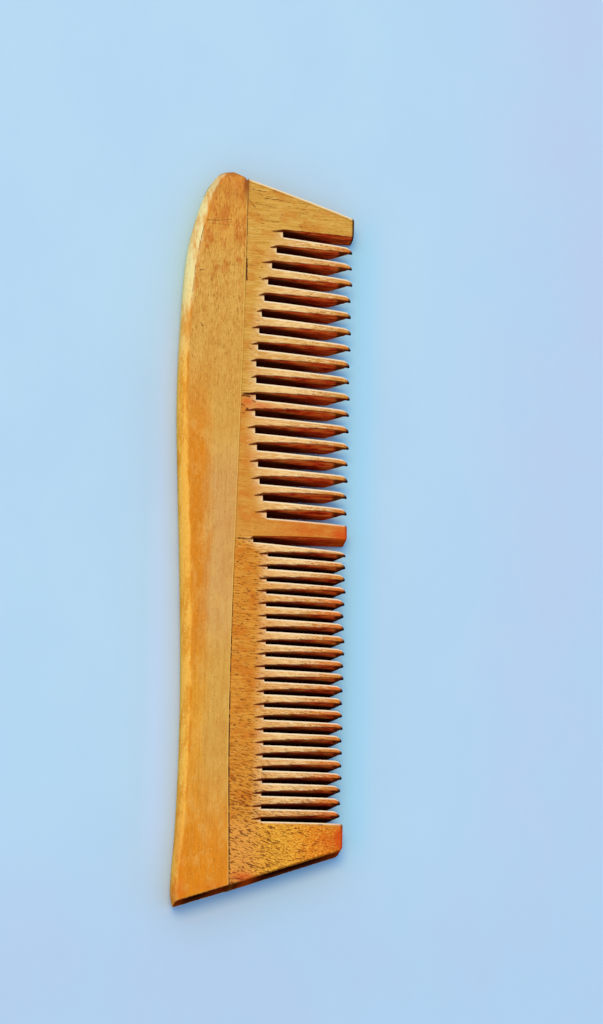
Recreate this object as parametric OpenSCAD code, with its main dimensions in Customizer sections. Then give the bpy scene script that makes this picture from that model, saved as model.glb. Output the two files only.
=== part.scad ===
// Two-zone wooden hair comb that lies flat. X runs across the comb towards the tooth tips,
// Y along it towards the coarse end and Z up. The origin is in the middle of its underside.

/* [Overall] */
// Length of the comb, from the low corner of the back to the top of the back
comb_length = 185; // [175:1:195]
// Width from the fullest part of the back to the ends of the guards
comb_width = 42.2; // [41:0.2:44]
// Thickness of the back and of the tooth roots
comb_thick = 6.8; // [6:0.2:8]
// Width of the glue line between two pieces
glue_gap = 0.1; // [0.05:0.05:0.2]

/* [Back] */
// Height of the rounding on the outer edge of the back
round_h = 2.2; // [1:0.1:2.8]
// Distance from the tooth tips to the glue line at the ends of the comb
seam_back = 26.6; // [25:0.1:28]
// How far the glue line bows towards the back
seam_bow = 1.25; // [0:0.05:1.5]
// Place along the comb where the glue line bows most
seam_bow_y = -42; // [-50:1:-30]

/* [Guards] */
// Slope of the top end, from the back down to the tips, in degrees
top_slope = 17; // [10:0.5:20]
// Slope of the bottom end, from the back up to the tips, in degrees
low_slope = 21.4; // [15:0.2:25]
// Cut off each guard's corner at the tips
guard_corner = 0.6; // [0.2:0.1:1.2]
// How far the guards stand proud of the tooth tips
guard_proud = 0.2; // [0:0.1:0.8]

/* [Tooth blades] */
// Distance from the tips at which the upper face starts to fall
taper_back = 17; // [12:0.5:18]
// Distance from the tips at which the upper face's nose starts
nose_back = 5; // [2.5:0.5:7]
// Fall of the upper face where its nose starts
nose_drop = 0.45; // [0.2:0.05:1]
// Height of the tips' upper edge above the surface that the comb lies on
tip_top = 5.7; // [4.5:0.1:6]
// Thickness of the teeth at their tips
tip_thick = 1.2; // [1:0.1:2]
// Distance from the tips at which the underside of the teeth starts to rise
under_back = 5; // [4.5:0.5:8]
// Length of the thin tip of each tooth, where its underside is level again
tip_run = 2.5; // [1:0.5:3.5]
// Bevel along both edges of each tooth
edge_break = 0.3; // [0.1:0.05:0.5]
// Distance from the tips, towards the tips, to the point that the teeth fan round
fan_dist = 1310; // [900:5:2000]
// Place along the comb of the tooth that stands square
fan_y = 11; // [0:0.5:30]

/* [Coarse teeth] */
// Distance between coarse teeth
coarse_pitch = 4.26; // [4.2:0.01:4.3]
// Place along the comb of the first coarse gap
coarse_top_y = 77.35; // [76.5:0.05:78]
// Half width of a coarse gap at its root
coarse_root_w = 0.92; // [0.8:0.02:1.1]
// Half width of a coarse gap near the tips
coarse_tip_w = 1.17; // [1:0.01:1.3]
// Distance from the tips to the deepest coarse root
coarse_depth = 23.4; // [22:0.1:24]
// Place along the comb of the deepest coarse root
coarse_bow_y = 37; // [34:1:40]
// Rise of the coarse roots towards the tips, 41 mm from the deepest one
coarse_bow = 6.0; // [3:0.1:6.5]

/* [Fine teeth] */
// Distance between fine teeth
fine_pitch = 3.14; // [3.1:0.005:3.15]
// Place along the comb of the gap under the first fine tooth
fine_top_y = -5.15; // [-5.4:0.05:-5]
// Half width of a fine gap at its root
fine_root_w = 0.46; // [0.4:0.02:0.6]
// Half width of a fine gap near the tips
fine_tip_w = 0.64; // [0.5:0.02:0.8]
// Distance from the tips to the fine roots
fine_depth = 19.5; // [18:0.1:20.5]

/* [Long gap] */
// Place along the comb of the long gap between the two sets of teeth
long_y = -1.55; // [-1.7:0.05:-1.4]
// Half width of the long gap at its root
long_root_w = 0.68; // [0.5:0.02:0.8]
// Half width of the long gap near the tips
long_tip_w = 1.4; // [1.2:0.05:1.5]
// Distance from the tips to the root of the long gap
long_depth = 23.2; // [22:0.1:24]
// Length of the long gap's run-out groove beyond its root
long_run = 0.8; // [0.5:0.1:3]

/* [Hidden] */

half_len = comb_length / 2;
tips_x = comb_width / 2 - guard_proud;
past = 1;                // how far a cutter runs past what it cuts
flare_back = 3.5;        // distance from the tips at which the gaps start to flare
seam_run_up = 115;       // length of the bow above its fullest point
seam_run_down = 66;      // and below it
seam_step = 6;           // distance between points along the glue line
bow_reach = 41;          // distance over which coarse_bow is measured
bow_power = 2.4;         // how late the coarse roots rise
tip_flare = 0.55;        // extra half width of each gap at the very tips
notch_overlap = 0.05;    // keeps a groove's end off the wall of its gap
upper_gaps = 11;         // the last of them lies over the first joint
coarse_gaps = 18;
fine_gaps = 22;

// Columns of the back's table, one row for each section across it
OUT = 0;                 // distance of the outer edge from the tooth tips
OUT_Y = 1;               // place of that edge along the comb, in percent of half the length
SEAM_Y = 2;              // place of the section's other end, at the glue line, in the same percent
ROUND = 3;               // width of the rounding on the outer edge
BACK = [
    [29.2, 100.0, 98.3, 0.3],
    [33.3, 99.2, 93.5, 0.9],
    [35.2, 97.2, 88.5, 1.5],
    [37.0, 94.0, 84.0, 2.0],
    [39.3, 86.8, 79.0, 2.5],
    [40.9, 76.8, 70.0, 2.5],
    [41.7, 59.5, 56.0, 1.9],
    [42.0, 36.2, 36.2, 1.8],
    [41.2, 13.0, 13.0, 2.2],
    [40.1, -12.0, -12.0, 2.2],
    [39.2, -40.0, -40.0, 2.0],
    [39.1, -62.0, -62.0, 1.8],
    [39.7, -80.5, -79.0, 1.6],
    [40.2, -90.0, -87.0, 1.4],
    [40.4, -96.4, -92.3, 1.2],
    [40.1, -100.0, -94.8, 1.0]
];
section_steps = 4;       // sections made between two rows
round_steps = 3;         // edges that make up one rounding

// How far each coarse gap's groove runs out on the faces beyond the gap's root, from the top down
COARSE_RUN = [2.9, 1.8, 2.7, 1.8, 1.5, 1.3, 2.0, 1.8, 1.5, 1.4, 3.0, 2.9, 2.1, 2.3, 2.3, 2.2, 2.4, 3.1];
fine_run = 2.0;

// Distance of the glue line from the tooth tips, at a place along the comb
function seam_at(y) =
    let (run = y > seam_bow_y ? seam_run_up : seam_run_down,
         t = min(1, abs(y - seam_bow_y) / run))
    seam_back + seam_bow * pow(cos(90 * t), 2);

// Direction of the teeth at a place along the comb, as a rise for each millimetre towards the tips
function lean(y) = (fan_y - y) / fan_dist;

// Distance of a coarse gap's root from the tips, at a place along the comb
function coarse_root(y) = coarse_depth - coarse_bow * pow(abs(y - coarse_bow_y) / bow_reach, bow_power);

// Places along the comb of the gaps, where each crosses the line at which the upper face starts to fall
function coarse_y(i) = coarse_top_y - i * coarse_pitch;
function fine_y(i) = fine_top_y - i * fine_pitch;

// Place along the comb of a gap's centre line, at a distance from the tips
function line_y(y, back) = y + lean(y) * (taper_back - back);

// A point from its distance from the tips and its place along the comb
function at(back, y) = [tips_x - back, y];

// One column of the back's table, smoothed between its rows
function smooth(a, b, c, d, t) =
    0.5 * (2 * b + (c - a) * t + (2 * a - 5 * b + 4 * c - d) * t * t + (3 * b - a - 3 * c + d) * t * t * t);
function row(i) = BACK[max(0, min(len(BACK) - 1, i))];
function back_row(i, t) =
    [for (k = [OUT:ROUND]) smooth(row(i - 1)[k], row(i)[k], row(i + 1)[k], row(i + 2)[k], t)];

// Place along the comb of the glue line's end at a row of the table
function seam_end(i) = row(i)[SEAM_Y] * half_len / 100;

// One section across the back: its flat sides and the two roundings, as points in space
function section(r) =
    let (seam_y = r[SEAM_Y] * half_len / 100,
         outer = at(r[OUT], r[OUT_Y] * half_len / 100),
         inner = at(seam_at(seam_y) + glue_gap / 2, seam_y),
         dir = (inner - outer) / norm(inner - outer),
         arc = [for (i = [0:round_steps]) i * 90 / round_steps],
         low = [for (a = arc) [r[ROUND] * (1 - sin(a)), round_h * (1 - cos(a))]],
         high = [for (i = [round_steps:-1:0]) [low[i][0], comb_thick - low[i][1]]])
    concat(
        [for (p = concat(low, high)) [outer[0] + p[0] * dir[0], outer[1] + p[0] * dir[1], p[1]]],
        [[inner[0], inner[1], comb_thick], [inner[0], inner[1], 0]]
    );

// The solid through a list of closed sections, with a flat cap at each end
module loft(sections) {
    n = len(sections[0]);
    last = len(sections) - 1;
    function id(i, j) = i * n + j % n;
    polyhedron(
        points = [for (s = sections) for (p = s) p],
        faces = concat(
            [[for (j = [0:n - 1]) id(0, j)]],
            [for (i = [0:last - 1]) for (j = [0:n - 1]) [id(i, j), id(i + 1, j), id(i + 1, j + 1)]],
            [for (i = [0:last - 1]) for (j = [0:n - 1]) [id(i, j), id(i + 1, j + 1), id(i, j + 1)]],
            [[for (j = [n - 1:-1:0]) id(last, j)]]
        )
    );
}

// Outline of a plate between two places on the glue line, each given with the point at the tips
module plate_outline(top, low) {
    steps = ceil((top[0] - low[0]) / seam_step);
    seam = [for (i = [0:steps]) low[0] + (top[0] - low[0]) * i / steps];
    polygon(concat(
        [for (y = seam) at(seam_at(y) - glue_gap / 2, y)],
        top[1],
        low[1]
    ));
}

// Faces of all plates, seen from the end: level at the roots, with an upper face that falls to the tips
module blade_profile() {
    root_x = tips_x - seam_back - seam_bow - past;
    polygon([
        [root_x, 0],
        [root_x, comb_thick],
        [tips_x - taper_back, comb_thick],
        [tips_x - nose_back, comb_thick - nose_drop],
        [tips_x + guard_proud, tip_top],
        [tips_x + guard_proud, 0]
    ]);
}

// A groove whose keel starts on the top face and dives towards the tips, with sides at 45 degrees
module groove(start, depth, dive, length) {
    side = comb_thick;
    translate([start, 0, comb_thick - depth])
        rotate([0, atan(dive), 0])
            rotate([90, 0, 90])
                linear_extrude(length)
                    polygon([[0, 0], [side, side], [-side, side]]);
}

// Turns its children over, from the upper face to the underside
module underside() {
    translate([0, 0, comb_thick]) mirror([0, 0, 1]) children();
}

// One gap with its grooves: the through cut from its root to past the tips, and on each face
// the run-out beyond the root and the bevels along both teeth
module gap(y, root, root_w, tip_w, run) {
    reach = root - flare_back;
    mouth_w = tip_w + tip_flare;
    half = [[0, root_w], [reach, tip_w], [root, mouth_w], [root + past, mouth_w]];
    keel = root_w + edge_break;
    widening = (tip_w - root_w) / reach;
    fall = nose_drop / (root - nose_back);
    translate(at(root, line_y(y, root)))
        rotate([0, 0, atan(lean(y))]) {
            translate([0, 0, -past])
                linear_extrude(comb_thick + 2 * past)
                    polygon(concat(half, [for (i = [len(half) - 1:-1:0]) [half[i][0], -half[i][1]]]));
            groove(-run, 0, keel / run, run + notch_overlap);
            groove(notch_overlap, keel, widening + fall, root + past);
            underside() {
                groove(-run, 0, keel / run, run + notch_overlap);
                groove(notch_overlap, keel, widening, root + past);
            }
        }
}

// A plate's wood before its gaps are cut
module blade(top, low) {
    intersection() {
        linear_extrude(comb_thick) plate_outline(top, low);
        translate([0, half_len, 0])
            rotate([90, 0, 0])
                linear_extrude(comb_length) blade_profile();
    }
}

// The two ends of a joint between two plates, on the glue line and past the tips
function joint(y, side) =
    [line_y(y, seam_back) + side * glue_gap / 2, [at(-past, line_y(y, -past) + side * glue_gap / 2)]];

// The sloped end of a guard, on the glue line and at the tips, where its corner is cut off.
// The outline runs from the back to the tips along the top end, and the other way along the low one.
function guard_end(y, slope) =
    let (tip_y = y + slope * (seam_back + guard_proud - guard_corner),
         corner = at(guard_corner - guard_proud, tip_y))
    slope < 0
        ? [y, [corner, corner + guard_corner * [1, -1]]]
        : [y, [corner + guard_corner * [1, 1], corner]];

// What shortens the teeth between two places along the comb, so that the guards stand proud
module shortening(top_y, low_y) {
    translate([tips_x, low_y, -past]) cube([past, top_y - low_y, comb_thick + 2 * past]);
}

// What thins the teeth from below between two places along the comb, so that their tips clear the
// surface. The guards and the wide divider stay thick.
module thinning(top_y, low_y) {
    tip_z = tip_top - tip_thick;
    translate([tips_x, top_y, 0])
        rotate([90, 0, 0])
            linear_extrude(top_y - low_y)
                polygon([
                    [-under_back, -past],
                    [-under_back, 0],
                    [-tip_run, tip_z],
                    [past, tip_z],
                    [past, -past]
                ]);
}

module spine() {
    last = (len(BACK) - 1) * section_steps;
    color([0.87, 0.62, 0.30])
        loft([for (i = [0:last]) let (t = i / section_steps) section(back_row(floor(t), t - floor(t)))]);
}

module coarse_gap(i) {
    gap(coarse_y(i), coarse_root(coarse_y(i)), coarse_root_w, coarse_tip_w, COARSE_RUN[i]);
}

module upper_coarse_plate() {
    joint_y = coarse_y(upper_gaps - 1);
    color([0.85, 0.58, 0.33])
        difference() {
            blade(guard_end(seam_end(0), -tan(top_slope)), joint(joint_y, 1));
            for (i = [0:upper_gaps - 1]) coarse_gap(i);
            shortening(line_y(coarse_y(0), 0), line_y(joint_y, 0));
            thinning(line_y(coarse_y(0), 0), line_y(joint_y, 0));
        }
}

module lower_coarse_plate() {
    color([0.88, 0.60, 0.34])
        difference() {
            blade(joint(coarse_y(upper_gaps - 1), -1), joint(long_y, 1));
            for (i = [upper_gaps - 1:coarse_gaps - 1]) coarse_gap(i);
            gap(long_y, long_depth, long_root_w, long_tip_w, long_run);
            shortening(line_y(coarse_y(upper_gaps - 1), 0), line_y(long_y, 0));
            thinning(line_y(coarse_y(upper_gaps - 1), 0), line_y(coarse_y(coarse_gaps - 1), 0));
        }
}

module fine_plate() {
    color([0.83, 0.55, 0.30])
        difference() {
            blade(joint(long_y, -1), guard_end(seam_end(len(BACK) - 1), tan(low_slope)));
            gap(long_y, long_depth, long_root_w, long_tip_w, long_run);
            for (i = [0:fine_gaps - 1]) gap(fine_y(i), fine_depth, fine_root_w, fine_tip_w, fine_run);
            shortening(line_y(long_y, 0), line_y(fine_y(fine_gaps - 1), 0));
            thinning(line_y(long_y, 0), line_y(fine_y(fine_gaps - 1), 0));
        }
}

spine();
upper_coarse_plate();
lower_coarse_plate();
fine_plate();
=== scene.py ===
"""Looks of a two-zone wooden comb that lies flat on pale paper.

Each CAD solid is replaced by a denser wooden piece on the same lines: the spine is lofted through the
sections of its back, and each plate is made of lanes, one for every tooth, gap and guard. Sizes are in
millimetres in the comb's own frame until a mesh is made: X towards the tooth tips, Y towards the coarse
end, Z up. "Back" is always the distance from the tooth tips.
"""
import math

import bmesh
import bpy
import numpy as np
from mathutils import Matrix, Vector


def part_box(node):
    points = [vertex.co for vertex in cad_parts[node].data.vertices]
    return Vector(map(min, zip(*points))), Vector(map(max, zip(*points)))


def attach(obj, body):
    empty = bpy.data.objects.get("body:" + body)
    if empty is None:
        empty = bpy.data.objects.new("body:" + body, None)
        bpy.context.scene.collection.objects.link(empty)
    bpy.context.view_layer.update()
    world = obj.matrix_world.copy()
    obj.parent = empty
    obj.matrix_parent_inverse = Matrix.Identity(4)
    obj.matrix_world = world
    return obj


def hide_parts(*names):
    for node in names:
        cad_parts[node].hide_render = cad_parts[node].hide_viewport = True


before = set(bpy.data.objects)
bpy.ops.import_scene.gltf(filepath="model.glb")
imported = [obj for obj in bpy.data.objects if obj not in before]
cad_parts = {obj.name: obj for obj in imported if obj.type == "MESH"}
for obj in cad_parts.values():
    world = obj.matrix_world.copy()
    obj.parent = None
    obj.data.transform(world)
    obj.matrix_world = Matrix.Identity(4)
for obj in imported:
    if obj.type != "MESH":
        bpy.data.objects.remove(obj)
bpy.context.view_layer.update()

MM = 0.001
# Points closer than this are one, and slivers narrower than this go
WELD = 2e-4 * MM
SLIVER = 1e-4 * MM
# Edges sharper than this stay sharp
CREASE = math.radians(35)

# Sizes from the frame
GUARD_PROUD = 0.2
TIPS_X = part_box("fine_plate")[1].x / MM - GUARD_PROUD
HALF_LEN = (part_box("spine")[1].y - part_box("spine")[0].y) / MM / 2
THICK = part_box("spine")[1].z / MM
MID_Z = THICK / 2

# The back's outer edge and the glue line, which the finish nearly fills
GLUE_GAP = 0.04
SEAM_BACK = 26.6
SEAM_BOW = 1.25
SEAM_BOW_Y = -42
SEAM_RUN_UP = 115
SEAM_RUN_DOWN = 66
SEAM_EDGE = 0.05
# Distance from the glue line at which the seam attribute reaches 1
SEAM_REACH = 9
# How far the rounding of the outer edge falls, and the share of that at the very top
ROUND_H = 2.2
TOP_SHARE = 0.2
# How uneven the worn faces are
UNEVEN = 0.08
UNEVEN_TEETH = 0.06
# Each row: back of the outer edge, its place along the comb in percent of half the length,
# place of the section's other end on the glue line in the same percent, width of the edge's rounding
BACK = np.array([
    (30.2, 100.0, 98.5, 0.3), (32.9, 99.6, 93.5, 0.9), (34.8, 97.7, 88.5, 1.5), (36.8, 94.0, 84.0, 2.0),
    (38.8, 86.8, 79.0, 2.5), (40.7, 76.8, 70.0, 2.5), (41.7, 59.5, 56.0, 1.9), (42.0, 36.2, 36.2, 1.8),
    (41.2, 13.0, 13.0, 2.2), (40.1, -12.0, -12.0, 2.2), (39.2, -40.0, -40.0, 2.0), (39.1, -62.0, -62.0, 1.8),
    (39.5, -80.5, -79.0, 1.6), (40.0, -90.0, -87.0, 1.4), (40.15, -96.4, -92.3, 1.2),
    (39.6, -100.0, -94.8, 1.0),
])

# Tooth blades
TAPER_BACK = 17
NOSE_BACK = 5
FLARE_BACK = 3.5
NOSE_DROP = 0.45
TIP_TOP = 5.7
TIP_THICK = 1.0
GUARD_EDGE = 0.25
# Length over which a blade takes up the height of its root area
BLEND = 1.5
# A side thinner than twice this closes, so that no sliver is left
LEAST_HEIGHT = 0.005
# Where the underside starts and ends its rise to the thin tips
COARSE_RISE = (5.4, 1.5)
FINE_RISE = (3.4, 1.0)
FAN_DIST = 1310
FAN_Y = 11
COARSE_PITCH = 4.26
COARSE_TOP_Y = 77.35
FINE_PITCH = 3.14
FINE_TOP_Y = -5.15
TOP_SLOPE = math.radians(17)
LOW_SLOPE = math.radians(21.4)

# Sides of the groove along each gap: cut steeply above it, eased below it
STEEP = 2.0
EASED = 0.4
SHALLOW = 0.2
STEEP_EDGE = 0.24
EASED_EDGE = 0.42
# Where the groove runs out beyond a gap, in half widths above the gap's centre line
NEEDLE = 0.4
# Depth of the steep side that takes painted shade there, next to the gap
NEEDLE_WIDTH = 1.3

rng = np.random.default_rng(11)


# Lines that the whole comb follows

def seam_back(y):
    """Back of the glue line, which bows."""
    run = np.where(y > SEAM_BOW_Y, SEAM_RUN_UP, SEAM_RUN_DOWN)
    t = np.minimum(1, np.abs(y - SEAM_BOW_Y) / run)
    return SEAM_BACK + SEAM_BOW * np.cos(t * math.pi / 2) ** 2


def from_middle(percent):
    """Place along the comb, from a percentage of half its length."""
    return percent * HALF_LEN / 100


def fan_line(y, back):
    """Place along the comb, at a distance from the tips, of a tooth line that crosses TAPER_BACK at y."""
    return y + (FAN_Y - y) / FAN_DIST * (TAPER_BACK - back)


def soft(x, r=0.05):
    """x where it is above zero and else zero, with the corner rounded over about r."""
    return r * np.logaddexp(0, x / r)


def smoothstep(x):
    x = np.clip(x, 0, 1)
    return x * x * (3 - 2 * x)


def rounding(d, r):
    """How far a rounded edge of radius r stands back, at a distance d from the end."""
    return r - np.sqrt(np.maximum(0, r * r - np.maximum(0, r - d) ** 2))


def dips(x, y, size):
    """Hand-made unevenness: how far the worn face lies below the true one, up to the given size."""
    wave = (np.sin(0.31 * x + 0.17 * y + 1.0) + np.sin(0.11 * x - 0.43 * y + 2.0)
            + np.sin(0.73 * x + 0.29 * y + 4.0) + np.sin(0.9 * y - 0.5 * x)) / 4
    return size * (1 + wave) / 2


def upper_face(back):
    """Height of the plates' upper face: level at the roots, falling a little, then a nose."""
    fall = NOSE_DROP / (TAPER_BACK - NOSE_BACK)
    nose = (THICK - NOSE_DROP - TIP_TOP) / (NOSE_BACK + GUARD_PROUD)
    return THICK - fall * soft(TAPER_BACK - back, 0.7) - (nose - fall) * soft(NOSE_BACK - back, 0.4)


def lower_face(back, rise=None):
    """Height of the plates' underside: level, but for a rise to the thin tips."""
    if rise is None:
        return np.zeros_like(back)
    start, end = rise
    return (TIP_TOP - TIP_THICK) / (start - end) * (soft(start - back, 0.15) - soft(end - back, 0.15))


def middle(back, rise=None):
    return (upper_face(back) + lower_face(back, rise)) / 2


def half_thick(back, rise=None):
    return (upper_face(back) - lower_face(back, rise)) / 2


# Mesh making

class Piece:
    """Collects grids of points with their attributes and welds them into one closed mesh."""

    # edge carries painted highlight and painted shade lines, wall marks the walls that take painted shade,
    # and deep and end carry painted shade
    ATTRIBUTES = ("edge", "wall", "deep", "tooth", "tint", "seam", "end")

    def __init__(self):
        self.points = []
        self.values = {name: [] for name in self.ATTRIBUTES}
        self.faces = []
        self.count = 0

    def grid(self, x, y, z, closed=False, **values):
        """Adds a grid of points and its faces, but for those with all four corners closed."""
        x, y, z, closed = np.broadcast_arrays(x, y, z, closed)
        rows, columns = x.shape
        self.points.append(np.stack([x, y, z], axis=-1).reshape(-1, 3))
        for name in self.ATTRIBUTES:
            value = np.broadcast_to(values.get(name, 0.0), x.shape)
            self.values[name].append(value.reshape(-1))
        ids = self.count + np.arange(rows * columns).reshape(rows, columns)
        quads = np.stack([ids[:-1, :-1], ids[:-1, 1:], ids[1:, 1:], ids[1:, :-1]], axis=-1)
        quads = quads.reshape(-1, 4)
        self.faces.append(quads[~closed.reshape(-1)[quads - self.count].all(axis=1)])
        self.count += rows * columns

    def both_faces(self, x, y, mid, height, **values):
        """The upper face at a height above the middle, and the lower face as far below it."""
        self.grid(x, y, mid + height, **values)
        self.grid(x, y, mid - height, **values)

    def upright(self, x, y, mid, height, **values):
        """A wall along a line of points, from the lower face to the upper one."""
        self.grid(x[None, :], y[None, :], mid + UP * height, **values)

    def make(self, name, node, material):
        points = np.concatenate(self.points) * MM
        mesh = bpy.data.meshes.new(name)
        mesh.from_pydata(points.tolist(), [], np.concatenate(self.faces).tolist())
        for key, chunks in self.values.items():
            layer = mesh.attributes.new(key, "FLOAT", "POINT")
            layer.data.foreach_set("value", np.concatenate(chunks).astype(np.float32))
        work = bmesh.new()
        work.from_mesh(mesh)
        bmesh.ops.remove_doubles(work, verts=work.verts, dist=WELD)
        loose = [vert for vert in work.verts if not vert.link_faces]
        bmesh.ops.delete(work, geom=loose, context="VERTS")
        bmesh.ops.dissolve_degenerate(work, dist=SLIVER, edges=work.edges)
        bmesh.ops.recalc_face_normals(work, faces=work.faces)
        work.to_mesh(mesh)
        work.free()
        co = np.zeros(len(mesh.vertices) * 3)
        mesh.vertices.foreach_get("co", co)
        x, y, _ = co.reshape(-1, 3).T / MM
        for key, spots in STAINS.items():
            layer = mesh.attributes.new(key, "FLOAT", "POINT")
            layer.data.foreach_set("value", stain(x, y, spots).astype(np.float32))
        mesh.shade_smooth()
        mesh.set_sharp_from_angle(angle=CREASE)
        piece = bpy.data.objects.new(name, mesh)
        bpy.context.scene.collection.objects.link(piece)
        mesh.materials.append(material)
        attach(piece, "root")
        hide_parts(node)
        return piece


# Rows of a wall, from the lower face at -1 to the upper one at 1
UP = np.linspace(-1, 1, 11)[:, None]
# Painted shade on the walls of the low end, along those rows
LOW_END_PAINTED_SHADE = 1 - 0.16 * smoothstep(0.1 - UP)


# Stains that follow the photo, each as x, y, reach along x, reach along y and strength

STAINS = {
    "dark": (
        (-10.0, 92.2, 5.0, 0.8, 0.9),
        (-6.1, 89.4, 0.8, 3.4, 1.3),
        (-13.5, 88.5, 1.8, 2.5, 0.35),
        (-9.0, 87.0, 3.0, 3.5, 0.25),
        (-5.1, -88.0, 0.5, 1.6, 0.8),
    ),
    "red": (
        (20.5, 1.2, 4.6, 2.8, 1.15),
        (11.0, 1.8, 9.0, 2.6, 0.5),
        (20.6, -74.5, 1.9, 3.0, 1.5),
        (18.5, -75.5, 4.0, 3.0, 0.6),
        (-18.5, -90.5, 2.0, 4.0, 0.6),
        (-4.2, 33.2, 1.5, 1.3, 0.8),
        (-1.0, 32.4, 3.2, 0.6, 0.7),
        (-18.0, -80.0, 0.9, 9.0, 0.35),
        (-9.0, -88.5, 4.0, 1.2, 0.3),
        (-2.5, -85.6, 3.0, 1.2, 0.9),
        (-8.0, 89.5, 2.0, 3.0, 0.3),
        (-11.0, 91.0, 4.0, 2.0, 0.25),
    ),
}


def stain(x, y, spots):
    total = np.zeros_like(x)
    for cx, cy, reach_x, reach_y, strength in spots:
        total = np.maximum(total, strength * np.exp(-((x - cx) / reach_x) ** 2 - ((y - cy) / reach_y) ** 2))
    return total


# Spine

def back_row(t):
    """The back's table at a place between its rows, smoothed with a Catmull-Rom curve."""
    last = len(BACK) - 1
    i = np.clip(np.floor(t).astype(int), 0, last - 1)
    f = (t - i)[:, None]
    a, b, c, d = (BACK[np.clip(i + k, 0, last)] for k in (-1, 0, 1, 2))
    return 0.5 * (2 * b + (c - a) * f + (2 * a - 5 * b + 4 * c - d) * f ** 2
                  + (3 * b - a - 3 * c + d) * f ** 3)


def spine_rows():
    """Places along the table, close together at both ends and about 0.6 mm apart between them."""
    coarse = np.linspace(0, len(BACK) - 1, 2000)
    steps = from_middle(np.abs(np.diff(back_row(coarse)[:, 1])))
    length = np.concatenate([[0], np.cumsum(steps)])
    even = np.interp(np.arange(0, length[-1], 0.6), length, coarse)
    ends = np.array([0, 0.01, 0.025, 0.045, 0.07, 0.1, 0.14, 0.19, 0.25, 0.32, 0.4, 0.5, 0.62, 0.75, 0.87])
    last = len(BACK) - 1
    low_ends = last - np.array([0, 0.008, 0.02, 0.04, 0.065, 0.095, 0.13])
    between = even[(even > 1) & (even < last - 0.2)]
    return np.concatenate([ends, between, low_ends[::-1]])


def spine_section(width, roundness, drop):
    """Columns across each section: distance from the outer edge, and height above the middle."""
    rows = np.ones((len(width), 1))
    arc = np.linspace(0, math.pi / 2, 12)[None, :]
    wall = np.linspace(0, 1, 4)[None, :-1] * (MID_Z - drop)
    flat = np.linspace(0, 1, 26)[None, 1:]
    across = [
        0 * wall * rows,
        roundness * (1 - np.cos(arc) ** 1.25),
        roundness + (width - SEAM_EDGE - roundness) * flat,
        width - SEAM_EDGE * np.array([[0.6, 0.25, 0.05, 0, 0, 0]]),
    ]
    height = [
        wall * rows,
        (MID_Z - drop * (1 - np.sin(arc) ** 1.25)) * rows,
        MID_Z * np.ones_like(flat) * rows,
        (MID_Z - SEAM_EDGE * np.array([[0.08, 0.35, 0.75, 1.3, 15, 100]])) * rows,
    ]
    return np.concatenate(across, axis=1), np.maximum(0, np.concatenate(height, axis=1))


def make_spine(material):
    """The back: sections from its rounded outer edge to the glue line, with softened ends."""
    t = spine_rows()
    row = back_row(t)
    seam_y = from_middle(row[:, 2])
    outer = np.stack([TIPS_X - row[:, 0], from_middle(row[:, 1])], axis=-1)
    inner = np.stack([TIPS_X - seam_back(seam_y) - GLUE_GAP / 2, seam_y], axis=-1)
    width = np.linalg.norm(inner - outer, axis=-1)[:, None]
    across = (inner - outer) / width
    top_inset = rounding(t * 2.6, 0.22)
    low_inset = rounding((t[-1] - t) * 2.8, 0.3)
    inset = (top_inset + low_inset)[:, None]
    corner = rounding((seam_y[0] - seam_y)[:, None] + 0.02, 1.5)
    roundness = row[:, 3:4]
    drop = ROUND_H * (TOP_SHARE + (1 - TOP_SHARE) * smoothstep(t[:, None] / 3.5))
    p, z = spine_section(width, roundness, drop)
    p = np.clip(p, inset, width - top_inset[:, None] - corner)
    z = np.maximum(z - inset, 0)
    z[:, -1] = 0
    z[:, 0] = 0
    x = outer[:, 0:1] + across[:, 0:1] * p
    y = outer[:, 1:2] + across[:, 1:2] * p
    z = z - np.where(z > 1.5, dips(x, y, UNEVEN), 0)
    # 1 on the band along the outer edge, which takes a painted highlight, fading just past it
    band = smoothstep(1.25 - p / np.maximum(roundness, 0.8) + 0.25)
    piece = Piece()
    piece.both_faces(x, y, MID_Z, z, edge=band, seam=np.minimum(width - p, SEAM_REACH) / SEAM_REACH)
    # The end caps: slight painted shade at the top end, and more painted shade at the low end
    for i, deep in ((0, 0.1), (-1, LOW_END_PAINTED_SHADE)):
        piece.upright(x[i], y[i], MID_Z, z[i], wall=1.0, seam=0.5, deep=deep)
    return piece.make("spine_board", "spine", material)


# Plates

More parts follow.
